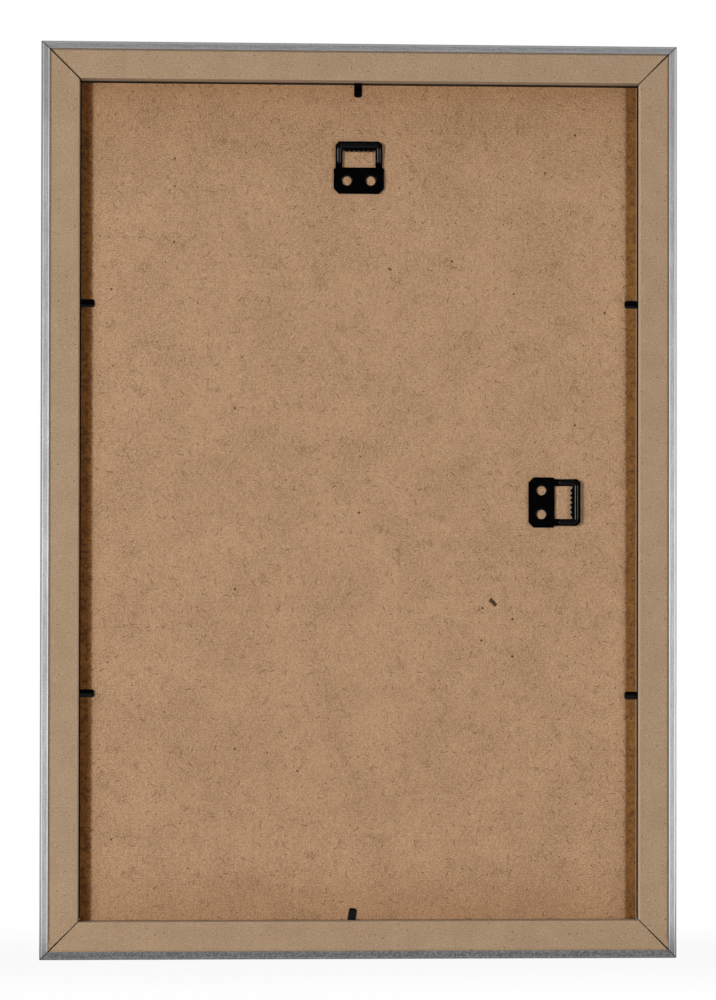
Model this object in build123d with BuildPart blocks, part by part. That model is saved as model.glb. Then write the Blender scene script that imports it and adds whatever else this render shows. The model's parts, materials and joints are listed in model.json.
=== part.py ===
from build123d import *
from math import cos, hypot, radians, sin, tan
import os

# Mitred picture frame, hung in portrait format and described from its back.
# Millimetres. The wall plane is Y = 0 and +Y runs from the wall to the glass. +Z is up, and +X is
# the right-hand side as seen from the back. The origin is on the wall plane, behind the middle
# notch of the portrait hanger, where the nail stands.

# Picture format, and the gaps round the pack: even on average, smaller below, where it has settled
PICTURE_WIDTH = 300.0
PICTURE_HEIGHT = 450.0
REBATE_CLEARANCE = 0.7
PACK_SEAT_GAP = 0.2

# Pack held in the rebate
GLASS_THICKNESS = 2.0
GLASS_EDGE_CHAMFER = 0.3
SHEET_THICKNESS = 0.3
BOARD_THICKNESS = 3.0

# Section of the rails: bare back face, bevel under the foil, and the lip that frames the picture
BACK_FACE_WIDTH = 15.5
BACK_ARRIS_RADIUS = 0.4
BEVEL_WIDTH = 5.1
BEVEL_DEPTH = 2.6
BEVEL_EDGE_RADIUS = 2.4
MOULDING_DEPTH = 16.0
FRONT_EDGE_RADIUS = 2.0
LIP_WIDTH = 5.0
LIP_THICKNESS = 4.0
SIGHT_EDGE_RADIUS = 1.2
MITRE_GAP = 0.4

# Foil wrapped round the rails
FOIL_THICKNESS = 0.3
FOIL_EDGE_GAP = 0.3
FOIL_MITRE_GAP = 0.1

# V-nails sunk across each mitre
V_NAILS_PER_CORNER = 2
V_NAIL_LEG = 5.0
V_NAIL_THICKNESS = 0.6
V_NAIL_HEIGHT = 7.0
V_NAIL_SINK = 3.2
V_NAIL_INSET = 4.5
V_NAIL_SPACING = 6.0

# Stamped hangers: plate, loop with its toothed bar, bead pressed into the loop, claws in the board
HANGER_SHEET = 1.0
PLATE_WIDTH = 27.2
PLATE_HEIGHT = 14.2
PLATE_LOWER_CHAMFER = 2.8
PLATE_UPPER_CHAMFER = 0.9
LOOP_WIDTH = 25.3
LOOP_CHAMFER = 1.9
LOOP_TILT = 5.0
WINDOW_WIDTH = 17.8
WINDOW_HEIGHT = 9.5
BAR_HEIGHT = 4.35
TOOTH_COUNT = 6
TOOTH_PITCH = 2.6
TOOTH_DEPTH = 1.3
BEAD_WIDTH = 2.2
BEAD_HEIGHT = 0.45
BEAD_CORNER_RADIUS = 2.0
BEAD_END_INSET = 3.2
HOLE_RADIUS = 2.45
HOLE_SPACING = 12.9
HOLE_EDGE_RADIUS = 0.8
CLAW_THICKNESS = 0.6
CLAW_SPLIT = 1.8
CLAW_COVER = 0.8
PORTRAIT_HANGER_INSET = 30.7
PORTRAIT_HANGER_OFFSET = -0.8
LANDSCAPE_HANGER_INSET = 30.8

# Bendable points: a strip driven into the rebate wall, bent over the board
POINT_WIDTH = 4.2
POINT_THICKNESS = 0.5
POINT_TIP_RADIUS = 1.2
POINT_BEND_OFFSET = 0.4
POINT_BEND_CLEARANCE = 0.05
POINT_BOARD_CLEARANCE = 0.1
SHANK_LENGTH = 8.0
SHANK_TAPER_LENGTH = 3.0

# Where each point stands: its rail, its distance from the middle of that rail towards +X or +Z,
# how far it reaches from the rebate wall, and its lean in degrees
POINTS = {
    "top": ("top", -1.3, 7.8, 0.0),
    "bottom": ("bottom", -4.2, 6.4, 9.0),
    "left_upper": ("left", 105.9, 7.9, 0.0),
    "left_lower": ("left", -103.7, 8.2, 0.0),
    "right_upper": ("right", 106.8, 7.4, 0.0),
    "right_lower": ("right", -104.8, 7.3, 0.0),
}

# Directions: towards the wall, and outwards from the picture on each side
TO_FRONT = Vector(0, 1, 0)
TO_WALL = Vector(0, -1, 0)
OUTWARD = {
    "top": Vector(0, 0, 1),
    "bottom": Vector(0, 0, -1),
    "left": Vector(-1, 0, 0),
    "right": Vector(1, 0, 0),
}
CORNERS = {
    "top_left": (-1, 1),
    "top_right": (1, 1),
    "bottom_left": (-1, -1),
    "bottom_right": (1, -1),
}

# Places that follow from the sizes
moulding_width = BACK_FACE_WIDTH + BEVEL_WIDTH
bevel_slope = BEVEL_DEPTH / BEVEL_WIDTH
lip_back = MOULDING_DEPTH - LIP_THICKNESS
glass_back = lip_back - GLASS_THICKNESS
sheet_back = glass_back - SHEET_THICKNESS
board_back = sheet_back - BOARD_THICKNESS
half_width = PICTURE_WIDTH / 2 + REBATE_CLEARANCE
half_height = PICTURE_HEIGHT / 2 + REBATE_CLEARANCE
pack_x = -PORTRAIT_HANGER_OFFSET
pack_z = BAR_HEIGHT + PORTRAIT_HANGER_INSET - PICTURE_HEIGHT / 2
frame_z = pack_z + REBATE_CLEARANCE - PACK_SEAT_GAP
plate_top = -WINDOW_HEIGHT
plate_middle = plate_top - PLATE_HEIGHT / 2
plate_bottom = plate_top - PLATE_HEIGHT
claw_length = BOARD_THICKNESS - CLAW_COVER
point_middle = board_back - POINT_BOARD_CLEARANCE - POINT_THICKNESS / 2


def wall_middle(side):
    """Middle of a side's rebate wall, on the wall plane."""
    out = OUTWARD[side]
    return Vector(pack_x + out.X * half_width, 0, frame_z + out.Z * half_height)


def half_length(side):
    """Half the length of a side's rebate wall."""
    return half_height if OUTWARD[side].X else half_width


def section_plane(side):
    """Plane of a rail's section: x outwards from the rebate wall, y towards the front."""
    out = OUTWARD[side]
    return Plane(origin=wall_middle(side), x_dir=out, z_dir=out.cross(TO_FRONT))


def flat_plane(depth):
    """Plane of a flat sheet in the rebate: x to the right, y up, facing the wall."""
    return Plane(origin=(pack_x, depth, pack_z), x_dir=(1, 0, 0), z_dir=TO_WALL)


def mitre_planes(side, gap):
    """Planes of a rail's two mitred ends, each half a gap short of the true mitre."""
    out = OUTWARD[side]
    along = out.cross(TO_FRONT)
    planes = []
    for end in (along, -along):
        facing = (end - out).normalized()
        corner = wall_middle(side) + end * half_length(side)
        planes.append(Plane(origin=corner - facing * (gap / 2), z_dir=facing))
    return planes


def corner_plane(corner):
    """Plane of a corner's V-nails: x and y run outwards from the corner of the rebate."""
    right, up = CORNERS[corner]
    middle = (pack_x + right * half_width, V_NAIL_SINK, frame_z + up * half_height)
    return Plane(origin=middle, x_dir=(right, 0, 0), z_dir=(0, -right * up, 0))


def point_plane(name):
    """Plane in the middle of a point's strip: x along the bend, y inwards, facing the wall."""
    side, along, reach, lean = POINTS[name]
    inward = -OUTWARD[side]
    along_side = Vector(abs(inward.Z), 0, abs(inward.X))
    bend = wall_middle(side) + along_side * along + inward * POINT_BEND_OFFSET
    return Plane(origin=bend + TO_FRONT * point_middle, x_dir=inward.cross(TO_WALL), z_dir=TO_WALL)


def covered_outline(inset, start_gap):
    """Part of the section that the foil covers, from the bevel round the front to the lip."""
    bevel_start = inset * hypot(1, bevel_slope)
    outer = moulding_width - inset
    front = MOULDING_DEPTH - inset
    sight = inset - LIP_WIDTH
    return FilletPolyline(
        (BACK_FACE_WIDTH + start_gap, bevel_start + start_gap * bevel_slope),
        (outer, bevel_start + (outer - BACK_FACE_WIDTH) * bevel_slope),
        (outer, front),
        (sight, front),
        (sight, lip_back),
        radius=[radius - inset for radius in (BEVEL_EDGE_RADIUS, FRONT_EDGE_RADIUS, SIGHT_EDGE_RADIUS)],
    )


def draw_v_nails():
    """Sketch of a corner's V-nails, each an angle whose legs run back along the two rails."""
    half = V_NAIL_THICKNESS / 2
    for number in range(V_NAILS_PER_CORNER):
        apex = V_NAIL_INSET + number * V_NAIL_SPACING
        Polygon(
            (apex + half, apex + half),
            (apex - V_NAIL_LEG, apex + half),
            (apex - V_NAIL_LEG, apex - half),
            (apex - half, apex - half),
            (apex - half, apex - V_NAIL_LEG),
            (apex + half, apex - V_NAIL_LEG),
            align=None,
        )


def draw_shank(lean):
    """Sketch of a point's shank, from just behind the bend to its sharp end in the rail."""
    half = POINT_WIDTH / cos(radians(lean)) / 2
    root = -POINT_THICKNESS / 2 - POINT_BEND_CLEARANCE
    end = -POINT_BEND_OFFSET - SHANK_LENGTH
    shoulder = end + SHANK_TAPER_LENGTH
    slope = tan(radians(lean))
    Polygon(
        (root * slope - half, root),
        (root * slope + half, root),
        (shoulder * slope + half, shoulder),
        (end * slope, end),
        (shoulder * slope - half, shoulder),
        align=None,
    )


def draw_claws():
    """Sketch of the claws, four round each hole of a hanger's plate."""
    with Locations((0, plate_middle)):
        with GridLocations(HOLE_SPACING, HOLE_SPACING, 2, 1):
            Circle(HOLE_RADIUS + CLAW_THICKNESS)
            Circle(HOLE_RADIUS, mode=Mode.SUBTRACT)
            for turn in (45, 135):
                Rectangle(CLAW_SPLIT, 4 * HOLE_RADIUS, rotation=turn, mode=Mode.SUBTRACT)


def make_rail(side):
    """Bare core of one side of the frame."""
    out = OUTWARD[side]
    with BuildPart() as rail:
        with BuildSketch(section_plane(side)) as section:
            with BuildLine():
                covered = covered_outline(FOIL_THICKNESS, 0)
                Polyline(covered @ 1, (0, lip_back), (0, 0), (BACK_FACE_WIDTH, 0), covered @ 0)
            make_face()
            fillet(section.vertices().sort_by_distance((0, 0))[0], BACK_ARRIS_RADIUS)
        extrude(amount=half_length(side) + moulding_width, both=True)
        for plane in mitre_planes(side, MITRE_GAP):
            split(bisect_by=plane, keep=Keep.BOTTOM)
        for corner, (right, up) in CORNERS.items():
            if out.X == right or out.Z == up:
                with BuildSketch(corner_plane(corner)):
                    draw_v_nails()
                extrude(amount=V_NAIL_HEIGHT, dir=TO_FRONT, mode=Mode.SUBTRACT)
        for name, (point_side, along, reach, lean) in POINTS.items():
            if point_side == side:
                with BuildSketch(point_plane(name).offset(-POINT_THICKNESS / 2)):
                    draw_shank(lean)
                extrude(amount=POINT_THICKNESS, mode=Mode.SUBTRACT)
    return rail.part


def make_foil(side):
    """Foil skin of one side of the frame."""
    with BuildPart() as foil:
        with BuildSketch(section_plane(side)):
            with BuildLine():
                outer = covered_outline(0, FOIL_EDGE_GAP)
                inner = covered_outline(FOIL_THICKNESS, FOIL_EDGE_GAP)
                Line(outer @ 0, inner @ 0)
                Line(outer @ 1, inner @ 1)
            make_face()
        extrude(amount=half_length(side) + moulding_width, both=True)
        for plane in mitre_planes(side, FOIL_MITRE_GAP):
            split(bisect_by=plane, keep=Keep.BOTTOM)
    return foil.part


def make_corner_nails(corner):
    """V-nails of one corner."""
    with BuildPart() as nails:
        with BuildSketch(corner_plane(corner)):
            draw_v_nails()
        extrude(amount=V_NAIL_HEIGHT, dir=TO_FRONT)
    return nails.part


def make_glass():
    """Pane of glass on the lip, its sharp edges ground off."""
    with BuildPart() as glass:
        with BuildSketch(flat_plane(lip_back)):
            Rectangle(PICTURE_WIDTH, PICTURE_HEIGHT)
        extrude(amount=GLASS_THICKNESS)
        rims = glass.edges().group_by(Axis.Y)
        chamfer(rims[0] + rims[-1], GLASS_EDGE_CHAMFER)
    return glass.part


def make_sheet():
    """Plain sheet of paper behind the glass."""
    with BuildPart() as sheet:
        with BuildSketch(flat_plane(glass_back)):
            Rectangle(PICTURE_WIDTH, PICTURE_HEIGHT)
        extrude(amount=SHEET_THICKNESS)
    return sheet.part


def make_board(hanger_planes):
    """Backing board, with the cuts that the hangers' claws have made in it."""
    with BuildPart() as board:
        with BuildSketch(flat_plane(sheet_back)):
            Rectangle(PICTURE_WIDTH, PICTURE_HEIGHT)
        extrude(amount=BOARD_THICKNESS)
        for plane in hanger_planes:
            with BuildSketch(plane):
                draw_claws()
            extrude(amount=-claw_length, mode=Mode.SUBTRACT)
    return board.part


def make_hanger(plane):
    """Hanger stamped from sheet steel. Its plane's origin is the root of the middle notch."""
    tilt = radians(LOOP_TILT)
    loop_height = WINDOW_HEIGHT + BAR_HEIGHT
    rise = loop_height * tan(tilt)
    bend_outside = plate_top - HANGER_SHEET * tan(tilt / 2)
    sheet_rise = HANGER_SHEET / cos(tilt)
    arm_middle = (LOOP_WIDTH + WINDOW_WIDTH) / 4
    loop_plane = Plane(
        origin=plane.from_local_coords((0, bend_outside, HANGER_SHEET)),
        x_dir=plane.x_dir,
        z_dir=plane.z_dir * cos(tilt) - plane.y_dir * sin(tilt),
    )
    bead_bottom = BEAD_END_INSET / cos(tilt)
    bead_top = (loop_height - BAR_HEIGHT / 2) / cos(tilt)

    with BuildPart() as hanger:
        # Sheet with its bend, seen from the side
        with BuildSketch(Plane(origin=plane.origin, x_dir=plane.y_dir, z_dir=plane.x_dir)):
            with BuildLine():
                Polyline(
                    (plate_bottom, 0),
                    (plate_top, 0),
                    (BAR_HEIGHT, rise),
                    (BAR_HEIGHT, rise + sheet_rise),
                    (bend_outside, HANGER_SHEET),
                    (plate_bottom, HANGER_SHEET),
                    close=True,
                )
            make_face()
        extrude(amount=PLATE_WIDTH, both=True)

        # Outline of the plate and loop, with the toothed window and the two holes
        with BuildSketch(plane) as outline:
            with Locations((0, plate_middle)):
                Rectangle(PLATE_WIDTH, PLATE_HEIGHT)
            chamfer(outline.vertices().group_by(Axis.Y)[-1], PLATE_UPPER_CHAMFER)
            chamfer(outline.vertices().group_by(Axis.Y)[0], PLATE_LOWER_CHAMFER)
            with Locations((0, plate_top)):
                Rectangle(LOOP_WIDTH, loop_height, align=(Align.CENTER, Align.MIN))
            chamfer(outline.vertices().group_by(Axis.Y)[-1], LOOP_CHAMFER)
            with BuildLine():
                first = -TOOTH_COUNT * TOOTH_PITCH / 2
                teeth = [(first, 0)]
                for number in range(TOOTH_COUNT):
                    teeth.append((first + (number + 0.5) * TOOTH_PITCH, -TOOTH_DEPTH))
                    teeth.append((first + (number + 1) * TOOTH_PITCH, 0))
                left = -WINDOW_WIDTH / 2
                Polyline((left, 0), *teeth, (-left, 0), (-left, plate_top), (left, plate_top), close=True)
            make_face(mode=Mode.SUBTRACT)
            with Locations((0, plate_middle)):
                with GridLocations(HOLE_SPACING, HOLE_SPACING, 2, 1):
                    Circle(HOLE_RADIUS, mode=Mode.SUBTRACT)
        extrude(amount=rise + 2 * HANGER_SHEET, mode=Mode.INTERSECT)

        # Rounded rims of the holes, on the side that faces the wall
        rims = hanger.edges().filter_by(GeomType.CIRCLE)
        fillet(rims.group_by(Axis(plane.origin, plane.z_dir))[-1], HOLE_EDGE_RADIUS)

        # Bead along the arms and the bar, with its domed ends
        with BuildLine(loop_plane) as bead_path:
            FilletPolyline(
                (-arm_middle, bead_bottom),
                (-arm_middle, bead_top),
                (arm_middle, bead_top),
                (arm_middle, bead_bottom),
                radius=BEAD_CORNER_RADIUS,
            )
        half_bead = BEAD_WIDTH / 2
        foot = -HANGER_SHEET / 2
        start = bead_path.line @ 0
        with BuildSketch(Plane(origin=start, x_dir=-loop_plane.x_dir, z_dir=loop_plane.y_dir)):
            with BuildLine():
                ThreePointArc((-half_bead, 0), (0, BEAD_HEIGHT), (half_bead, 0))
                Polyline((half_bead, 0), (half_bead, foot), (-half_bead, foot), (-half_bead, 0))
            make_face()
        sweep(path=bead_path.line)
        for end in (bead_path.line @ 0, bead_path.line @ 1):
            with BuildSketch(Plane(origin=end, x_dir=loop_plane.x_dir, z_dir=-loop_plane.y_dir)):
                with BuildLine():
                    TangentArc((0, BEAD_HEIGHT), (half_bead, 0), tangent=(1, 0))
                    Polyline((half_bead, 0), (half_bead, foot), (0, foot), (0, BEAD_HEIGHT))
                make_face()
            revolve(axis=Axis(end, loop_plane.z_dir))

        # Claws pressed into the board
        with BuildSketch(plane):
            draw_claws()
        extrude(amount=-claw_length)
    return hanger.part


def make_point_shank(name):
    """Fixed end of a bendable point, driven into its rail."""
    side, along, reach, lean = POINTS[name]
    with BuildPart() as shank:
        with BuildSketch(point_plane(name).offset(-POINT_THICKNESS / 2)):
            draw_shank(lean)
        extrude(amount=POINT_THICKNESS)
    return shank.part


def make_point_tab(name):
    """Free end of a bendable point, from its rounded bend to its tip over the board."""
    side, along, reach, lean = POINTS[name]
    plane = point_plane(name)
    turn = radians(lean)
    half = POINT_WIDTH / 2
    half_bend = half / cos(turn)
    tip = reach - POINT_BEND_OFFSET
    tip_middle = tip * tan(turn)
    with BuildPart() as tab:
        with BuildSketch(plane.offset(-POINT_THICKNESS / 2)) as strip:
            with BuildLine():
                Polyline(
                    (-half_bend, 0),
                    (half_bend, 0),
                    (tip_middle + half * cos(turn), tip - half * sin(turn)),
                    (tip_middle - half * cos(turn), tip + half * sin(turn)),
                    close=True,
                )
            make_face()
            fillet(strip.vertices().sort_by(Axis.Y)[-2:], POINT_TIP_RADIUS)
        extrude(amount=POINT_THICKNESS)
        with BuildSketch(Plane(origin=plane.origin, x_dir=plane.y_dir, z_dir=plane.x_dir)):
            Circle(POINT_THICKNESS / 2)
        extrude(amount=half_bend, both=True)
    return tab.part


def save(piece, name):
    """Label a finished piece and write it under its own name."""
    piece.label = name
    export_step(piece, f"parts/{name}.step")


os.makedirs("parts", exist_ok=True)

portrait_plane = Plane(origin=(0, board_back, 0), x_dir=(1, 0, 0), z_dir=TO_WALL)
landscape_seat = pack_x + PICTURE_WIDTH / 2 - LANDSCAPE_HANGER_INSET - BAR_HEIGHT
landscape_plane = Plane(origin=(landscape_seat, board_back, pack_z), x_dir=(0, 0, -1), z_dir=TO_WALL)

for side in OUTWARD:
    save(make_rail(side), f"rail_{side}")
    save(make_foil(side), f"foil_{side}")
for corner in CORNERS:
    save(make_corner_nails(corner), f"corner_nails_{corner}")
save(make_glass(), "glass_pane")
save(make_sheet(), "insert_sheet")
save(make_board((portrait_plane, landscape_plane)), "backing_board")
save(make_hanger(portrait_plane), "hanger_portrait")
save(make_hanger(landscape_plane), "hanger_landscape")
for name in POINTS:
    save(make_point_shank(name), f"point_shank_{name}")
    save(make_point_tab(name), f"point_tab_{name}")
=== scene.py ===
import json
import math

import bmesh
import bpy
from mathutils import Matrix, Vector


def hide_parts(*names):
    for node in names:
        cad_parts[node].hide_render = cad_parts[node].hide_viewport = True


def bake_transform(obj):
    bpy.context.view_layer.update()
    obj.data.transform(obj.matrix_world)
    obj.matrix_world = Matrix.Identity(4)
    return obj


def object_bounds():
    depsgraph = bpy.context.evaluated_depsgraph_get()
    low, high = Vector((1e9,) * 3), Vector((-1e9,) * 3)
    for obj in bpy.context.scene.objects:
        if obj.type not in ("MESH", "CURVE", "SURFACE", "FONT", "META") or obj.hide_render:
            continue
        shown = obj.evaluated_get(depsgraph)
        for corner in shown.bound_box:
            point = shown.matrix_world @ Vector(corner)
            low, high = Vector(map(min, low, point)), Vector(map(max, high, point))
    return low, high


# Looks of a mitred picture frame, seen from its back. Metres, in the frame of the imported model: +Z up,
# +Y from the wall to the glass, +X to the right as seen from the back.

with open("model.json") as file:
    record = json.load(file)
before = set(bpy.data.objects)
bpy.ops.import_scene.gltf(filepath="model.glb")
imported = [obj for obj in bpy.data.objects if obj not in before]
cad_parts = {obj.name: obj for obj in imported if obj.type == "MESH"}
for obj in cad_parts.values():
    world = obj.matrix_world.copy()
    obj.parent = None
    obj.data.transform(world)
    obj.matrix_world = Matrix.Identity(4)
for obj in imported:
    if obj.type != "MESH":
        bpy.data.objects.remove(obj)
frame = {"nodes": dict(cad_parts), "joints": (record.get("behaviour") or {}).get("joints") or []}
cad_low, cad_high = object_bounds()
middle = (cad_low + cad_high) / 2
half = (cad_high - cad_low) / 2
nodes = frame["nodes"]
joints = frame["joints"]

MM = 0.001
TO_WALL = Vector((0, -1, 0))
WHITE = (1, 1, 1, 1)

# Values that most of a noise lies between, and the share of a speck's radius that its edge takes
NOISE_SPAN = (0.3, 0.7)
SPECK_BLUR = 0.3

# Camera, placed from the middle of the frame's back, with its angles in degrees
CAMERA_DISTANCE = 1.2
CAMERA_LEFT = 0.0417
CAMERA_BELOW = 0.0619
CAMERA_YAW = 1.937
CAMERA_PITCH = 0.405
CAMERA_ROLL = 0.0856
CAMERA_SHIFT = 0.1
SENSOR_WIDTH = 36.0
LENS = 2.2395 * SENSOR_WIDTH

# Lamps: a soft box left and right of the back and of the front, each with its angle and distance from the
# frame's foot, its width, its power and whether metal mirrors it. Its height is a share of its distance
BOX_TALLNESS = 0.3
BOX_FOOT = 0.03
BOX_SPREAD = 130.0
SOFT_BOXES = {
    "back_left": (-43.0, 3.0, 0.68, 33.2, True),
    "back_right": (47.8, 2.2, 0.65, 7.3, True),
    "front_left": (-135.0, 2.2, 0.5, 11.0, False),
    "front_right": (135.0, 2.2, 0.5, 11.0, False),
}
FILL = 0.05

# What reflections show of the white surround: pale walls, a dim one behind the camera, a grey ceiling and
# a floor that is dim next to the frame. Reaches are parts of the direction looked in, or metres of floor
LEFT_WALL = 0.56
RIGHT_WALL = 0.84
WALL_REACH = (-1.0, 1.0)
HIGH_WALL = 0.68
HIGH_WALL_REACH = (0.0, 0.3)
DIM_WALL = 0.07
DIM_WALL_REACH = (-0.75, -0.48)
CEILING = 0.6
CEILING_REACH = (0.3, 0.6)
LEFT_FLOOR = 0.8
RIGHT_FLOOR = 1.0
FLOOR_REACH = (-0.6, 0.6)
DIM_FLOOR = 0.36
DIM_FLOOR_REACH = (0.02, 0.07)

# Floor: its size and colour, its share of plain white at the frame's foot, and where that share is whole
FLOOR_SIZE = 12.0
FLOOR_COLOUR = (0.88, 0.88, 0.88, 1)
FLOOR_WHITE_NEAR = 0.92
FLOOR_FADE = 0.16

# Bendable points, drawn as one strip of steel each, with angles in degrees
POINT_WIDTH = 4.2 * MM
POINT_TIP_RADIUS = 1.2 * MM
POINT_TAPER = 3.0 * MM
POINT_EDGE = 0.07 * MM
POINT_SHARP = 50.0
POINT_LEAN = {"bottom": 9.0}
BEND_BEFORE = 0.4 * MM
BEND_AFTER = 0.6 * MM
BEND_CUTS = 12
CUT_TOLERANCE = 1e-7
ARC_STEPS = 6
EDGE_STEPS = 2

# Rounded edges of the stamped hangers
HANGER_EDGE = 0.14 * MM
HANGER_SHARP = 40.0
WELD_REACH = 0.002 * MM

# Places on the section of the rails, from the outer side inwards and from the back into the depth
BEVEL_WIDTH = 5.1 * MM
BEVEL_DEPTH = 2.6 * MM
BOARD_DEPTH = 6.7 * MM
REBATE_WALL = 20.6 * MM
BOARD_HALF_WIDTH = 150 * MM
BOARD_HALF_HEIGHT = 225 * MM

# Fades on the rails: painted shade beside the foil, which is weaker on the lower rail, painted light on the
# rebate wall from its edge, painted shade in the depth behind the board, the line of a mitre joint, and the
# joint's dirt from its outer to its inner end. The painted shadow of the gaps left and right of the board
# reaches up the rebate wall
FOIL_SHADE = (BEVEL_WIDTH + 1.2 * MM, BEVEL_WIDTH + 0.3 * MM)
FOIL_SHADE_LOWER = 0.2
FOIL_SHADE_RISE = (7 * MM, 12 * MM)
WALL_EDGE = (REBATE_WALL - 0.25 * MM, REBATE_WALL - 0.1 * MM)
DEEP_SHADE = (BOARD_DEPTH, BOARD_DEPTH + 0.8 * MM)
JOINT_LINE = (0.8 * MM, 0.35 * MM)
JOINT_CLOSING = (9 * MM, 17 * MM)
JOINT_DIRT = (0.9, 0.3)
GAP_LEFT = 1.0 * MM
GAP_RIGHT = 2.0 * MM
GAP_FOOT = BOARD_DEPTH - 0.2 * MM

# Foils: the axis along the rail, and the strengths of the painted highlights on the bevel's rims and
# of the creases on the bevel
FOILS = {
    "silver_foil_top": ("X", 0.3, 0.06),
    "silver_foil_bottom": ("X", 0.2, 0.6),
    "silver_foil_upright": ("Z", 0.95, 0.06),
}
FOIL_OF_SIDE = {
    "top": "silver_foil_top",
    "bottom": "silver_foil_bottom",
    "left": "silver_foil_upright",
    "right": "silver_foil_upright",
}
FOIL_LINES_ALONG = 90.0
FOIL_LINES_ACROSS = 1100.0
BEVEL_FADE = (BEVEL_DEPTH + 0.8 * MM, BEVEL_DEPTH)
OUTER_RIM = 1.2 * MM
INNER_RIM = BEVEL_WIDTH - 0.6 * MM
INNER_RIM_SHARE = 0.6
RIM_WIDTH = 1.0 * MM
FOIL_JOINT_LINE = (0.8 * MM, 0.3 * MM)
FOIL_JOINT_START = (0.2 * MM, 1.2 * MM)

# Painted shadow strips along the board's upright edges, with painted shade around them and a painted
# highlight along the right edge, by the distance from these edges
STRIP_RIM = (3.6 * MM, 5.0 * MM)
STRIP_EDGE = (5.2 * MM, 7.2 * MM)
STRIP_WOBBLE = 2.6 * MM
STRIP_SURROUND = (6.0 * MM, 12.0 * MM)
EDGE_HIGHLIGHT_REACH = (0.75 * MM, 0.25 * MM)

# Dark inclusion in the backing board, placed from its middle. A higher even squareness fills its corners
FLECK_PLACE = (0.0721, -0.0545)
FLECK_LENGTH = 5.6 * MM
FLECK_WIDTH = 2.4 * MM
FLECK_ANGLE = -48.0
FLECK_SQUARENESS = 4.0
FLECK_RAGGEDNESS = 0.4
FLECK_WAVES = 700.0

# Colours of the rails
RAIL_BROWN = (0.382, 0.26, 0.157, 1)
RAIL_PALE = (0.424, 0.293, 0.182, 1)
RAIL_DARK_GRAIN = (0.21, 0.128, 0.07, 1)
RAIL_LIGHT_GRAIN = (0.58, 0.44, 0.305, 1)
RAIL_FIBRE = (0.62, 0.48, 0.34, 1)
RAIL_SPECK = (0.12, 0.07, 0.036, 1)
# Painted shade by the foil, painted light on the walls, dark joints, painted shade deep in the rebate and
# gaps
RAIL_SHADE_BESIDE_FOIL = (0.13, 0.092, 0.066, 1)
RAIL_WALL_PAINTED_LIGHT = (0.68, 0.55, 0.41, 1)
RAIL_JOINT = (0.03, 0.012, 0.003, 1)
RAIL_DEEP_PAINTED_SHADE = (0.06, 0.026, 0.005, 1)
RAIL_GAP_PAINTED_SHADOW = (0.008, 0.004, 0.002, 1)

# Colours of the board. Fibres have their cells to the metre, length, width, share of the cells, strength
# and tint, specks their cells to the metre, radius, share and tint, and the painted shade at the top and
# bottom ends its height, fade and tint
BOARD_PALE = (0.482, 0.281, 0.152, 1)
BOARD_BROWN = (0.404, 0.228, 0.119, 1)
BOARD_PATCH = (0.3, 0.165, 0.085, 1)
BOARD_DOT = (0.15, 0.072, 0.03, 1)
BOARD_LIGHT_GRAIN = (0.7, 0.48, 0.31, 1)
BOARD_CURL = (0.15, 0.07, 0.03, 1)
BOARD_THREAD = (0.7, 0.5, 0.33, 1)
# Painted highlight along the board's right edge
BOARD_EDGE_HIGHLIGHT = (0.5, 0.36, 0.24, 1)
BOARD_FLECK = (0.045, 0.018, 0.004, 1)
BOARD_FIBRES = (
    (640.0, 2.2 * MM, 0.17 * MM, 0.7, 0.52, (0.7, 0.49, 0.31, 1)),
    (580.0, 2.0 * MM, 0.17 * MM, 0.7, 0.6, (0.2, 0.1, 0.045, 1)),
    (120.0, 3.6 * MM, 0.42 * MM, 0.35, 0.55, (0.13, 0.06, 0.026, 1)),
)
BOARD_SPECKS = (
    (230.0, 0.48 * MM, 0.4, (0.1, 0.047, 0.02, 1)),
    (60.0, 0.8 * MM, 0.2, (0.025, 0.01, 0.004, 1)),
)
# Painted shade towards the top and bottom ends of the board
BOARD_END_SHADE = (
    (BOARD_HALF_HEIGHT, 14 * MM, (0.86, 0.82, 0.76, 1)),
    (BOARD_HALF_HEIGHT, 70 * MM, (0.85, 0.81, 0.75, 1)),
    (-BOARD_HALF_HEIGHT, 36 * MM, (0.86, 0.82, 0.77, 1)),
)

# Tints of the painted shadow strips along the board's upright edges and of the painted shade around them,
# which its colour is multiplied by. The right strip's painted shadow is paler
STRIP_PALE = (0.67, 0.44, 0.155, 1)
STRIP_BROWN = (0.53, 0.325, 0.095, 1)
SHADOW_STRIP_DARK_PATCH = (0.24, 0.13, 0.03, 1)
STRIP_RIM_TINT = (0.3, 0.18, 0.06, 1)
SHADOW_STRIP_PALER_RIGHT = (1, 0.95, 0.6, 1)
STRIP_SURROUND_TINT = (0.88, 0.88, 0.84, 1)

# Colours of foil, steel, paper and glass
FOIL_DARK_LINE = (0.36, 0.362, 0.37, 1)
FOIL_LIGHT_LINE = (0.46, 0.462, 0.47, 1)
FOIL_DARK_GRAIN = (0.24, 0.24, 0.246, 1)
FOIL_LIGHT_GRAIN = (0.66, 0.662, 0.67, 1)
FOIL_DARK_CREASE = (0.22, 0.221, 0.226, 1)
FOIL_LIGHT_CREASE = (0.68, 0.682, 0.69, 1)
# Painted highlight on the rims of the bevel
FOIL_RIM_HIGHLIGHT = (0.85, 0.852, 0.86, 1)
FOIL_JOINT = (0.12, 0.12, 0.123, 1)
LACQUER = (0.0004, 0.0004, 0.0005, 1)
LACQUER_SMEAR = (0.0011, 0.0011, 0.0012, 1)
STEEL_DARK = (0.42, 0.42, 0.42, 1)
STEEL_LIGHT = (0.56, 0.56, 0.55, 1)
STEEL_LINES = (300.0, 3000.0, 300.0)
PAPER_DARK = (0.852, 0.843, 0.812, 1)
PAPER_LIGHT = (0.874, 0.866, 0.838, 1)
GLASS = (0.97, 0.985, 0.978, 1)


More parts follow.
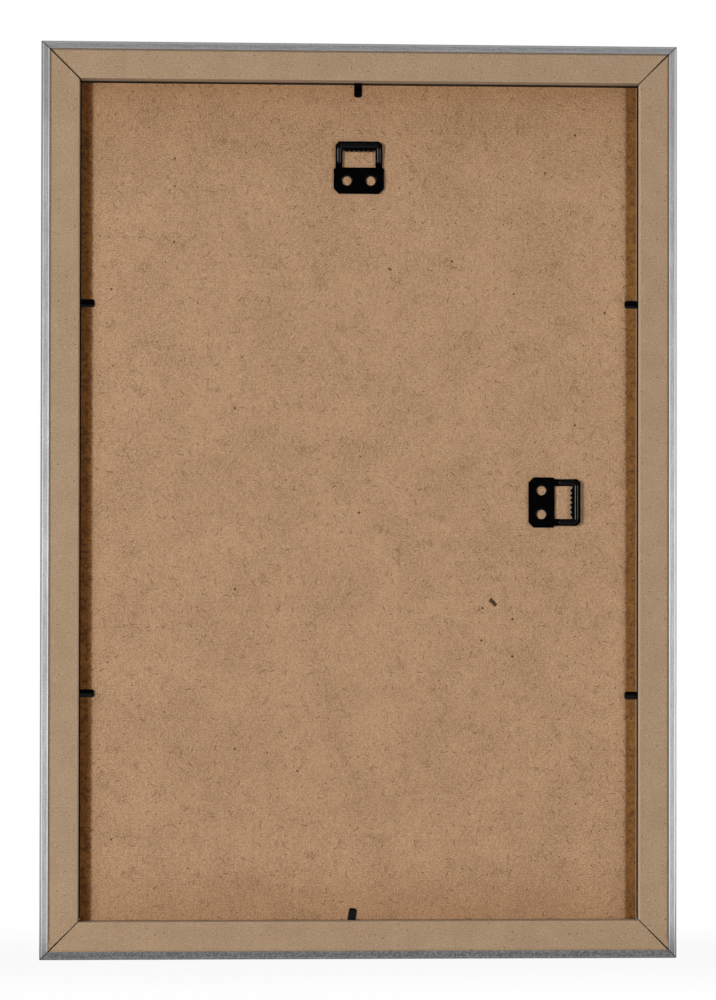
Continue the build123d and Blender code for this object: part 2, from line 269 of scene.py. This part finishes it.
class Graph:
    """A node tree, with short ways to add the nodes that the looks below are made of."""

    def __init__(self, tree):
        self.tree = tree

    def node(self, kind, **settings):
        """Add a node of a kind, with its settings."""
        made = self.tree.nodes.new("ShaderNode" + kind)
        for name, value in settings.items():
            setattr(made, name, value)
        return made

    def feed(self, socket, value):
        """Link a socket to another, or set its own value."""
        if isinstance(value, bpy.types.NodeSocket):
            self.tree.links.new(value, socket)
        else:
            socket.default_value = value

    def math(self, operation, first, second):
        """Result of an operation on two values."""
        made = self.node("Math", operation=operation)
        self.feed(made.inputs[0], first)
        self.feed(made.inputs[1], second)
        return made.outputs[0]

    def plus(self, first, second):
        return self.math("ADD", first, second)

    def minus(self, first, second):
        return self.math("SUBTRACT", first, second)

    def times(self, first, second):
        return self.math("MULTIPLY", first, second)

    def apart(self, first, second):
        """Distance between two values."""
        return self.math("ABSOLUTE", self.minus(first, second), 0.0)

    def band(self, value, low, high, start=0.0, end=1.0):
        """Smooth step of a value from start at low to end at high."""
        made = self.node("MapRange", interpolation_type="SMOOTHSTEP")
        for name, number in zip(("Value", "From Min", "From Max", "To Min", "To Max"),
                                (value, low, high, start, end)):
            self.feed(made.inputs[name], number)
        return made.outputs[0]

    def ridge(self, value, centre, width):
        """1 where a value is at a centre, and 0 from half a width away."""
        return self.band(self.apart(value, centre), width / 2, width / 6)

    def mix(self, factor, first, second, blend="MIX"):
        """Colour between two colours, by a factor from 0 to 1."""
        made = self.node("Mix", data_type="RGBA", blend_type=blend)
        self.feed(made.inputs["Factor"], factor)
        self.feed(made.inputs["A"], first)
        self.feed(made.inputs["B"], second)
        return made.outputs["Result"]

    def place(self):
        """Point of the surface in the part's own frame."""
        return self.node("TexCoord").outputs["Object"]

    def stretched(self, scale):
        """Point of the surface with each axis scaled by itself."""
        made = self.node("Mapping")
        self.feed(made.inputs["Vector"], self.place())
        made.inputs["Scale"].default_value = scale
        return made.outputs["Vector"]

    def axis(self, vector, name):
        """X, Y or Z of a vector."""
        parts = self.node("SeparateXYZ")
        self.feed(parts.inputs[0], vector)
        return parts.outputs[name]

    def flat(self):
        """Point of the surface in the plane of the back: X across and Z up."""
        made = self.node("CombineXYZ")
        self.feed(made.inputs["X"], self.axis(self.place(), "X"))
        self.feed(made.inputs["Y"], self.axis(self.place(), "Z"))
        return made.outputs[0]

    def from_sides(self):
        """Distances from the nearest upright and the nearest level outer side of the frame."""
        across = self.apart(self.axis(self.place(), "X"), middle.x)
        up = self.apart(self.axis(self.place(), "Z"), middle.z)
        return self.minus(half.x, across), self.minus(half.z, up)

    def noise(self, vector, scale, detail=2.0, roughness=0.5, distortion=0.0):
        """Cloudy noise around 0.5."""
        made = self.node("TexNoise")
        self.feed(made.inputs["Vector"], vector)
        for name, number in (("Scale", scale), ("Detail", detail), ("Roughness", roughness),
                             ("Distortion", distortion)):
            made.inputs[name].default_value = number
        return made.outputs[0]

    def scatter(self, flat, per_metre):
        """Outputs of a scattered grid of cells, and random values that each cell keeps."""
        cells = self.node("TexVoronoi", voronoi_dimensions="2D")
        self.feed(cells.inputs["Vector"], flat)
        cells.inputs["Scale"].default_value = per_metre
        dice = self.node("SeparateColor")
        self.feed(dice.inputs[0], cells.outputs["Color"])
        return cells.outputs, dice.outputs

    def specks(self, flat, per_metre, radius, share):
        """1 on round specks of uneven size, in a share of the cells of a scattered grid."""
        cells, dice = self.scatter(flat, per_metre)
        size = self.band(dice[0], 0.0, share, radius * per_metre, 0.0)
        edge = self.minus(size, cells["Distance"])
        return self.band(edge, 0.0, SPECK_BLUR * radius * per_metre)

    def fibres(self, flat, per_metre, length, width, share):
        """1 on short straight fibres at all angles, in a share of the cells of a scattered grid."""
        cells, dice = self.scatter(flat, per_metre)
        offset = self.node("VectorMath", operation="SUBTRACT")
        self.feed(offset.inputs[0], flat)
        self.feed(offset.inputs[1], cells["Position"])
        turn = self.node("VectorRotate", rotation_type="Z_AXIS")
        self.feed(turn.inputs["Vector"], offset.outputs[0])
        self.feed(turn.inputs["Angle"], self.times(dice[0], math.tau))
        along = self.apart(self.axis(turn.outputs[0], "X"), 0.0)
        across = self.apart(self.axis(turn.outputs[0], "Y"), 0.0)
        inside = self.times(self.band(along, length / 2, length / 3), self.band(across, width, width / 3))
        return self.times(inside, self.math("LESS_THAN", dice[1], share))

    def seen_directly(self):
        """1 for what the camera sees, straight, in a mirror or through glass."""
        path = self.node("LightPath")
        seen = self.math("MAXIMUM", path.outputs["Is Camera Ray"], path.outputs["Is Glossy Ray"])
        return self.math("MAXIMUM", seen, path.outputs["Is Transmission Ray"])

    def in_reflections(self, brightness):
        """A brightness that holds in reflections, and 1 everywhere else."""
        missing = self.minus(1.0, brightness)
        mirrored = self.node("LightPath").outputs["Is Glossy Ray"]
        return self.minus(1.0, self.times(mirrored, missing))


class Look(Graph):
    """A material with one Principled shader, and a colour that is painted in coats."""

    def __init__(self, name, **inputs):
        self.material = bpy.data.materials.new(name)
        self.material.use_nodes = True
        super().__init__(self.material.node_tree)
        self.shader = self.tree.nodes["Principled BSDF"]
        self.output = self.tree.nodes["Material Output"]
        self.colour = WHITE
        self.set(**inputs)

    def set(self, **inputs):
        """Feed inputs of the shader, by their names in small letters."""
        for name, value in inputs.items():
            self.feed(self.shader.inputs[name.replace("_", " ").title().replace("Ior", "IOR")], value)

    def paint(self, share, tint, strength=1.0):
        """Cover a share of the colour so far with a tint, in full or weaker."""
        self.colour = self.mix(self.times(share, strength), self.colour, tint)

    def stain(self, tint):
        """Multiply the colour so far by a tint."""
        self.colour = self.mix(1.0, self.colour, tint, "MULTIPLY")

    def bump(self, height, strength, distance):
        """Let a height tilt the shading."""
        made = self.node("Bump")
        self.feed(made.inputs["Height"], height)
        made.inputs["Strength"].default_value = strength
        made.inputs["Distance"].default_value = distance
        self.feed(self.shader.inputs["Normal"], made.outputs[0])


def paint_sanded_face(look):
    """Raw fibreboard with fine specks and short fibres. Gives its grain."""
    place = look.place()
    flat = look.flat()
    patches = look.noise(place, 60.0, detail=4.0, roughness=0.6)
    grain = look.noise(place, 1250.0, detail=1.0, roughness=0.6)
    look.colour = look.mix(look.band(patches, *NOISE_SPAN), RAIL_BROWN, RAIL_PALE)
    look.paint(look.band(grain, 0.55, 0.75), RAIL_DARK_GRAIN, strength=0.7)
    look.paint(look.band(grain, 0.46, 0.28), RAIL_LIGHT_GRAIN, strength=0.5)
    fibres = look.fibres(flat, per_metre=240.0, length=2.4 * MM, width=0.22 * MM, share=0.4)
    look.paint(fibres, RAIL_FIBRE, strength=0.4)
    specks = look.specks(flat, per_metre=230.0, radius=0.5 * MM, share=0.4)
    look.paint(specks, RAIL_SPECK, strength=0.65)
    return grain


def paint_rail_marks(look):
    """Painted shade beside the foil, deep in the rebate and in its gaps, painted light on the rebate walls,
    and dirt in the mitre joints.
    """
    place = look.place()
    depth = look.axis(place, "Y")
    height = look.axis(place, "Z")
    left = look.math("LESS_THAN", look.axis(place, "X"), middle.x)
    across, up = look.from_sides()
    outer = look.math("MINIMUM", across, up)
    mitre = look.apart(across, up)

    # Painted shade beside the foil, weaker on the lower rail, and painted light on the rebate walls
    rise = look.band(look.minus(height, cad_low.z), *FOIL_SHADE_RISE, FOIL_SHADE_LOWER, 1.0)
    look.paint(look.times(look.band(outer, *FOIL_SHADE), rise), RAIL_SHADE_BESIDE_FOIL, strength=0.75)
    look.paint(look.band(outer, *WALL_EDGE), RAIL_WALL_PAINTED_LIGHT, strength=0.6)

    open_corner = look.times(left, look.math("GREATER_THAN", height, middle.z))
    dirt = look.math("MAXIMUM", open_corner, look.band(outer, *JOINT_CLOSING, *JOINT_DIRT))
    look.paint(look.times(look.band(mitre, *JOINT_LINE), dirt), RAIL_JOINT)

    # Painted shade deep in the rebate, and painted shadow in the gaps beside the board reaching up the
    # walls
    look.paint(look.band(depth, *DEEP_SHADE), RAIL_DEEP_PAINTED_SHADE, strength=0.85)
    upright = look.math("LESS_THAN", across, up)
    gap_top = look.plus(look.times(left, GAP_RIGHT - GAP_LEFT), BOARD_DEPTH - GAP_RIGHT)
    look.paint(look.times(look.band(depth, gap_top, GAP_FOOT), upright), RAIL_GAP_PAINTED_SHADOW, strength=0.97)


def fibreboard():
    """Raw fibreboard of the rails."""
    look = Look("fibreboard", specular_ior_level=0.25)
    grain = paint_sanded_face(look)
    paint_rail_marks(look)
    look.set(base_color=look.colour, roughness=look.band(grain, *NOISE_SPAN, 0.78, 0.94))
    look.bump(grain, strength=0.25, distance=0.1 * MM)
    return look.material


def paint_pressed_mat(look):
    """A fine mat of light and dark fibres with specks in loose clouds. Gives its grain and patches."""
    place = look.place()
    mirrored = look.stretched((1, 1, -1))
    flat = look.flat()
    clouds = look.noise(place, 34.0, detail=4.0, roughness=0.62, distortion=0.4)
    patches = look.noise(place, 230.0, roughness=0.6)
    grain = look.noise(place, 3000.0, detail=1.0, roughness=0.6)
    curls = look.noise(place, 620.0, detail=0.0, distortion=1.2)
    threads = look.noise(mirrored, 560.0, detail=0.0, distortion=1.2)
    clumps = look.band(look.noise(mirrored, 120.0, roughness=0.6), 0.56, 0.72)
    dots = look.plus(grain, look.times(clumps, 0.07))
    look.colour = look.mix(look.band(clouds, 0.35, 0.7), BOARD_PALE, BOARD_BROWN)
    look.paint(look.band(patches, 0.4, 0.75), BOARD_PATCH, strength=0.17)
    look.paint(look.band(dots, 0.52, 0.72), BOARD_DOT)
    look.paint(look.band(grain, 0.48, 0.28), BOARD_LIGHT_GRAIN, strength=0.75)
    in_clumps = look.band(clumps, 0.0, 1.0, 0.12, 0.6)
    look.paint(look.times(look.ridge(curls, 0.5, 0.06), in_clumps), BOARD_CURL)
    look.paint(look.ridge(threads, 0.5, 0.05), BOARD_THREAD, strength=0.3)
    for per_metre, length, width, share, strength, tint in BOARD_FIBRES:
        fibres = look.fibres(flat, per_metre, length, width, share)
        look.paint(fibres, tint, strength)
    for per_metre, radius, share, tint in BOARD_SPECKS:
        specks = look.specks(flat, per_metre, radius, share)
        look.paint(specks, tint, strength=0.85)
    return grain, patches


def paint_shadow_strips(look):
    """Ragged painted shadow strips along the board's upright edges, with painted shade around them, and a
    painted highlight along the right edge.
    """
    place = look.place()
    right = look.math("GREATER_THAN", look.axis(place, "X"), middle.x)
    inside = look.minus(look.from_sides()[0], half.x - BOARD_HALF_WIDTH)
    wobble = look.minus(look.noise(place, 650.0, detail=3.0, roughness=0.8), 0.5)
    ragged = look.plus(inside, look.times(wobble, STRIP_WOBBLE))
    mottle = look.band(look.noise(place, 190.0, roughness=0.6), 0.38, 0.62)
    shadow_patches = look.band(look.noise(place, 520.0, roughness=0.6), 0.51, 0.6)
    strip = look.mix(mottle, STRIP_PALE, STRIP_BROWN)
    strip = look.mix(look.times(shadow_patches, 0.75), strip, SHADOW_STRIP_DARK_PATCH)
    strip = look.mix(look.band(ragged, *STRIP_RIM, 0.0, 0.4), strip, STRIP_RIM_TINT)
    # The right strip's painted shadow is paler
    strip = look.mix(look.times(right, 0.16), strip, SHADOW_STRIP_PALER_RIGHT)
    look.stain(look.mix(look.band(ragged, *STRIP_EDGE), strip, WHITE))
    # Painted shade fading out around the strips
    look.stain(look.mix(look.band(inside, *STRIP_SURROUND), STRIP_SURROUND_TINT, WHITE))
    # Painted highlight along the right edge
    look.paint(look.times(look.band(inside, *EDGE_HIGHLIGHT_REACH), right), BOARD_EDGE_HIGHLIGHT, strength=0.7)


def paint_fleck(look):
    """One ragged slanting inclusion."""
    push = FLECK_RAGGEDNESS * FLECK_WIDTH
    centre = (middle.x + FLECK_PLACE[0] + push / 2, middle.z + FLECK_PLACE[1] + push / 2, 0)
    flat = look.flat()
    wobble = look.node("TexNoise", noise_dimensions="2D")
    look.feed(wobble.inputs["Vector"], flat)
    wobble.inputs["Scale"].default_value = FLECK_WAVES
    ragged = look.node("VectorMath", operation="MULTIPLY_ADD")
    look.feed(ragged.inputs[0], wobble.outputs["Color"])
    ragged.inputs[1].default_value = (push, push, push)
    look.feed(ragged.inputs[2], flat)
    turn = look.node("VectorRotate", rotation_type="Z_AXIS")
    look.feed(turn.inputs["Vector"], ragged.outputs[0])
    turn.inputs["Center"].default_value = centre
    turn.inputs["Angle"].default_value = -math.radians(FLECK_ANGLE)
    offset = look.node("VectorMath", operation="SUBTRACT")
    look.feed(offset.inputs[0], turn.outputs[0])
    offset.inputs[1].default_value = centre
    along = look.times(look.axis(offset.outputs[0], "X"), 2 / FLECK_LENGTH)
    across = look.times(look.axis(offset.outputs[0], "Y"), 2 / FLECK_WIDTH)
    away = look.plus(*(look.math("POWER", reach, FLECK_SQUARENESS) for reach in (along, across)))
    look.paint(look.band(away, 1.0, 0.5), BOARD_FLECK, strength=0.95)


def hardboard():
    """Pressed back of the board, with painted shadow strips, painted shade at its top and bottom ends, and
    one dark fleck.
    """
    look = Look("hardboard", specular_ior_level=0.3)
    grain, patches = paint_pressed_mat(look)
    paint_shadow_strips(look)
    above = look.minus(look.axis(look.place(), "Z"), middle.z)
    # Painted shade towards the top and bottom ends
    for edge, fade, tint in BOARD_END_SHADE:
        look.stain(look.mix(look.band(look.apart(above, edge), 0.0, fade), tint, WHITE))
    paint_fleck(look)
    look.set(base_color=look.colour, roughness=look.band(grain, *NOISE_SPAN, 0.62, 0.85))
    look.bump(look.plus(grain, patches), strength=0.2, distance=0.12 * MM)
    return look.material


def silver_foil(name, along, rim_highlight, crease):
    """Satin metallised foil with fine lines along the rail, and on the bevel with creases and with painted
    highlights on its rims.

    along is the rail's axis, and the last two are the strengths of the painted rim highlights and of the
    creases.
    """
    look = Look(name, metallic=1.0)
    place = look.place()
    across, up = look.from_sides()
    outer = look.math("MINIMUM", across, up)
    mitre = look.apart(across, up)
    on_bevel = look.band(look.axis(place, "Y"), *BEVEL_FADE)
    spread = [FOIL_LINES_ALONG if axis == along else FOIL_LINES_ACROSS for axis in "XYZ"]
    lines = look.noise(look.stretched(spread), 1.0, roughness=0.6)
    grain = look.noise(place, 1300.0, detail=1.0, roughness=0.6)
    haze = look.noise(place, 28.0, detail=3.0, roughness=0.55)
    creases = look.noise(place, 870.0, detail=1.0, distortion=0.5)
    look.colour = look.mix(look.band(lines, *NOISE_SPAN), FOIL_DARK_LINE, FOIL_LIGHT_LINE)
    look.paint(look.band(grain, 0.52, 0.75), FOIL_DARK_GRAIN, strength=0.35)
    look.paint(look.band(grain, 0.48, 0.25), FOIL_LIGHT_GRAIN, strength=0.3)
    look.paint(look.times(look.band(creases, 0.52, 0.66), on_bevel), FOIL_DARK_CREASE, crease)
    look.paint(look.times(look.band(creases, 0.48, 0.34), on_bevel), FOIL_LIGHT_CREASE, crease)
    # Painted highlights along the bevel's inner and outer rims
    inner_rim = look.times(look.ridge(outer, INNER_RIM, RIM_WIDTH), INNER_RIM_SHARE)
    rims = look.math("MAXIMUM", inner_rim, look.ridge(outer, OUTER_RIM, RIM_WIDTH))
    look.paint(look.times(rims, on_bevel), FOIL_RIM_HIGHLIGHT, rim_highlight)
    joint_line = look.times(look.band(mitre, *FOIL_JOINT_LINE), look.band(outer, *FOIL_JOINT_START))
    look.paint(joint_line, FOIL_JOINT, strength=0.7)
    look.set(base_color=look.colour, roughness=look.band(haze, *NOISE_SPAN, 0.2, 0.23))
    look.bump(look.plus(lines, grain), strength=0.06, distance=0.05 * MM)
    return look.material


def black_steel():
    """Satin black lacquer on stamped steel."""
    look = Look("black_steel", specular_ior_level=0.12)
    peel = look.noise(look.place(), 1100.0)
    smears = look.noise(look.place(), 160.0, detail=3.0, roughness=0.6)
    look.set(base_color=look.mix(look.band(smears, 0.35, 0.75), LACQUER, LACQUER_SMEAR),
             roughness=look.band(smears, *NOISE_SPAN, 0.07, 0.11))
    look.bump(peel, strength=0.03, distance=0.02 * MM)
    return look.material


def bare_steel():
    """Drawn steel of the nails inside the corners."""
    look = Look("bare_steel", metallic=1.0)
    lines = look.noise(look.stretched(STEEL_LINES), 1.0, detail=3.0, roughness=0.6)
    look.set(base_color=look.mix(lines, STEEL_DARK, STEEL_LIGHT),
             roughness=look.band(lines, *NOISE_SPAN, 0.28, 0.45))
    return look.material


def plain_paper():
    """White sheet with faint fibres."""
    look = Look("plain_paper", specular_ior_level=0.2)
    fibres = look.noise(look.place(), 900.0, detail=4.0, roughness=0.7)
    clouds = look.noise(look.place(), 90.0, detail=3.0, roughness=0.6)
    look.set(base_color=look.mix(look.band(clouds, *NOISE_SPAN), PAPER_DARK, PAPER_LIGHT),
             roughness=look.band(fibres, *NOISE_SPAN, 0.85, 0.95))
    look.bump(fibres, strength=0.08, distance=0.05 * MM)
    return look.material


def clear_glass():
    """Float glass that lets the light of the lamps through to the sheet."""
    look = Look("clear_glass", transmission_weight=1.0, ior=1.5, base_color=GLASS)
    smears = look.noise(look.place(), 14.0, detail=4.0, roughness=0.6, distortion=0.6)
    look.set(roughness=look.band(smears, 0.4, 0.75, 0.0, 0.045))
    through = look.node("BsdfTransparent")
    either = look.node("MixShader")
    look.feed(either.inputs[0], look.node("LightPath").outputs["Is Shadow Ray"])
    look.feed(either.inputs[1], look.shader.outputs[0])
    look.feed(either.inputs[2], through.outputs[0])
    look.feed(look.output.inputs["Surface"], either.outputs[0])
    return look.material


def dress(name, material):
    """Give a CAD node its material."""
    mesh = nodes[name].data
    mesh.materials.clear()
    mesh.materials.append(material)


def soften(name):
    """Round the sharp edges of a hanger by modifiers, which leave its own mesh as it is."""
    weld = nodes[name].modifiers.new("weld", "WELD")
    weld.merge_threshold = WELD_REACH
    edge = nodes[name].modifiers.new("edge", "BEVEL")
    edge.width = HANGER_EDGE
    edge.segments = EDGE_STEPS
    edge.limit_method = "ANGLE"
    edge.angle_limit = math.radians(HANGER_SHARP)
    edge.harden_normals = True


def arc(centre, radius, start, end):
    """Points of an arc in the plane of a strip, by angles in degrees."""
    turns = [math.radians(start + (end - start) * step / ARC_STEPS) for step in range(ARC_STEPS + 1)]
    return [(centre[0] + radius * math.cos(turn), centre[1] + radius * math.sin(turn)) for turn in turns]


def point_outline(end, tip):
    """Outline of a point, across and along it: sharp at its end in the rail, rounded at its tip."""
    side = POINT_WIDTH / 2
    corner = (side - POINT_TIP_RADIUS, tip - POINT_TIP_RADIUS)
    return [
        (0, end),
        (side, end + POINT_TAPER),
        *arc(corner, POINT_TIP_RADIUS, 0, 90),
        *arc((-corner[0], corner[1]), POINT_TIP_RADIUS, 90, 180),
        (-side, end + POINT_TAPER),
    ]


def point_strip(joint, material):
    """One bendable point: a strip from its sharp end in the rail to its rounded tip over the board."""
    name = joint["child"].removeprefix("tab_")
    shank, tab = nodes["point_shank_" + name], nodes["point_tab_" + name]
    pivot = Vector(joint["pos_m"])
    bend_line = Vector(joint["axis"])
    inward = TO_WALL.cross(bend_line)
    lean = math.radians(POINT_LEAN.get(name, 0.0))
    length_way = inward * math.cos(lean) + bend_line * math.sin(lean)
    width_way = bend_line * math.cos(lean) - inward * math.sin(lean)
    tip = max((vertex.co - pivot).dot(length_way) for vertex in tab.data.vertices)
    end = min((vertex.co - pivot).dot(length_way) for vertex in shank.data.vertices)
    thickness = 2 * (max(vertex.co.y for vertex in shank.data.vertices) - pivot.y)

    mesh = bmesh.new()
    lower = pivot - TO_WALL * (thickness / 2)
    corners = [lower + width_way * x + length_way * y for x, y in point_outline(end, tip)]
    face = mesh.faces.new([mesh.verts.new(corner) for corner in corners])
    copied = bmesh.ops.extrude_face_region(mesh, geom=[face])["geom"]
    upper = [part for part in copied if isinstance(part, bmesh.types.BMVert)]
    bmesh.ops.translate(mesh, vec=TO_WALL * thickness, verts=upper)
    rims = [edge for edge in mesh.edges if abs((edge.verts[0].co - edge.verts[1].co).y) < thickness / 2]
    bmesh.ops.bevel(mesh, geom=rims, offset=POINT_EDGE, segments=EDGE_STEPS, profile=0.5, affect="EDGES")
    for cut in range(BEND_CUTS + 1):
        across = pivot + inward * (-BEND_BEFORE + (BEND_BEFORE + BEND_AFTER) * cut / BEND_CUTS)
        bmesh.ops.bisect_plane(mesh, geom=mesh.verts[:] + mesh.edges[:] + mesh.faces[:],
                               plane_co=across, plane_no=inward, dist=CUT_TOLERANCE)
    bmesh.ops.recalc_face_normals(mesh, faces=mesh.faces[:])
    data = bpy.data.meshes.new("point_" + name)
    mesh.to_mesh(data)
    mesh.free()
    data.shade_smooth()
    data.set_sharp_from_angle(angle=math.radians(POINT_SHARP))
    data.materials.append(material)

    strip = bpy.data.objects.new("point_" + name, data)
    bpy.context.scene.collection.objects.link(strip)
    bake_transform(strip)
    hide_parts(shank.name, tab.name)


def soft_box(name, place, aim, width, height, power, mirrored):
    """Soft rectangular lamp at a place, facing aim."""
    lamp = bpy.data.lights.new(name, "AREA")
    lamp.shape = "RECTANGLE"
    lamp.size = width
    lamp.size_y = height
    lamp.spread = math.radians(BOX_SPREAD)
    lamp.energy = power
    made = bpy.data.objects.new(name, lamp)
    made.location = place
    made.rotation_euler = (aim - place).to_track_quat("-Z", "Y").to_euler()
    made.visible_glossy = mirrored
    bpy.context.scene.collection.objects.link(made)


def hang_lamps():
    """Soft boxes round the foot of the frame."""
    foot = Vector((middle.x, middle.y, cad_low.z))
    for name, (angle, distance, width, power, mirrored) in SOFT_BOXES.items():
        turn = math.radians(angle)
        height = BOX_TALLNESS * distance
        rise = Vector((0, 0, BOX_FOOT + height / 2))
        place = foot + rise + distance * Vector((math.sin(turn), -math.cos(turn), 0))
        soft_box(name, place, foot, width, height, power, mirrored)


def surround():
    """World that looks white, mirrors as a room of pale walls, and lights the frame by a little fill."""
    world = bpy.data.worlds.new("studio")
    world.use_nodes = True
    graph = Graph(world.node_tree)
    fill = world.node_tree.nodes["Background"]
    fill.inputs["Color"].default_value = WHITE
    fill.inputs["Strength"].default_value = FILL
    way = graph.node("TexCoord").outputs["Generated"]
    pale = graph.band(graph.axis(way, "X"), *WALL_REACH, LEFT_WALL, RIGHT_WALL)
    pale = graph.times(pale, graph.band(graph.axis(way, "Z"), *HIGH_WALL_REACH, 1.0, HIGH_WALL))
    walls = graph.band(graph.axis(way, "Y"), *DIM_WALL_REACH, DIM_WALL, pale)
    high = graph.band(graph.axis(way, "Z"), *CEILING_REACH)
    room = graph.plus(graph.times(walls, graph.minus(1.0, high)), graph.times(high, CEILING))
    white = graph.node("Background")
    white.inputs["Color"].default_value = WHITE
    graph.feed(white.inputs["Strength"], graph.in_reflections(room))
    either = graph.node("MixShader")
    graph.feed(either.inputs[0], graph.seen_directly())
    graph.feed(either.inputs[1], fill.outputs[0])
    graph.feed(either.inputs[2], white.outputs[0])
    graph.feed(world.node_tree.nodes["World Output"].inputs["Surface"], either.outputs[0])
    bpy.context.scene.world = world


def lay_floor(height):
    """Pale floor that is white from a step away and keeps a soft shadow close to the frame."""
    look = Look("floor", roughness=0.9, specular_ior_level=0.1, base_color=FLOOR_COLOUR)
    place = look.place()
    far = look.apart(look.axis(place, "Y"), 0.0)
    share = look.times(look.band(far, 0.0, FLOOR_FADE, FLOOR_WHITE_NEAR, 1.0), look.seen_directly())
    pale = look.band(look.axis(place, "X"), *FLOOR_REACH, LEFT_FLOOR, RIGHT_FLOOR)
    mirrored = look.band(far, *DIM_FLOOR_REACH, DIM_FLOOR, pale)
    white = look.node("Emission")
    look.feed(white.inputs["Strength"], look.in_reflections(mirrored))
    either = look.node("MixShader")
    look.feed(either.inputs[0], share)
    look.feed(either.inputs[1], look.shader.outputs[0])
    look.feed(either.inputs[2], white.outputs[0])
    look.feed(look.output.inputs["Surface"], either.outputs[0])
    mesh = bpy.data.meshes.new("floor")
    reach = FLOOR_SIZE / 2
    corners = [(-reach, -reach, 0), (reach, -reach, 0), (reach, reach, 0), (-reach, reach, 0)]
    mesh.from_pydata(corners, [], [(0, 1, 2, 3)])
    mesh.materials.append(look.material)
    floor = bpy.data.objects.new("floor", mesh)
    floor.location = (middle.x, middle.y, height)
    bpy.context.scene.collection.objects.link(floor)


def stand_camera(back):
    """Camera a little left of and below the middle of the back, as the photograph was taken."""
    lens = bpy.data.cameras.new("camera")
    lens.sensor_width = SENSOR_WIDTH
    lens.lens = LENS
    lens.shift_y = CAMERA_SHIFT
    camera = bpy.data.objects.new("camera", lens)
    camera.location = (middle.x - CAMERA_LEFT, back - CAMERA_DISTANCE, middle.z - CAMERA_BELOW)
    turns = (90 + CAMERA_PITCH, -CAMERA_ROLL, -CAMERA_YAW)
    camera.rotation_euler = [math.radians(turn) for turn in turns]
    bpy.context.scene.collection.objects.link(camera)
    bpy.context.scene.camera = camera


rail_look = fibreboard()
foil_looks = {name: silver_foil(name, *settings) for name, settings in FOILS.items()}
steel_look = black_steel()
nail_look = bare_steel()
for side, foil in FOIL_OF_SIDE.items():
    dress("rail_" + side, rail_look)
    dress("foil_" + side, foil_looks[foil])
for name in nodes:
    if name.startswith("corner_nails_"):
        dress(name, nail_look)
    if name.startswith(("hanger_", "point_")):
        dress(name, steel_look)
    if name.startswith("hanger_"):
        soften(name)
dress("backing_board", hardboard())
dress("insert_sheet", plain_paper())
dress("glass_pane", clear_glass())
for joint in joints:
    point_strip(joint, steel_look)

hang_lamps()
surround()
lay_floor(cad_low.z)
stand_camera(cad_low.y)
bpy.context.scene.view_settings.view_transform = "Standard"
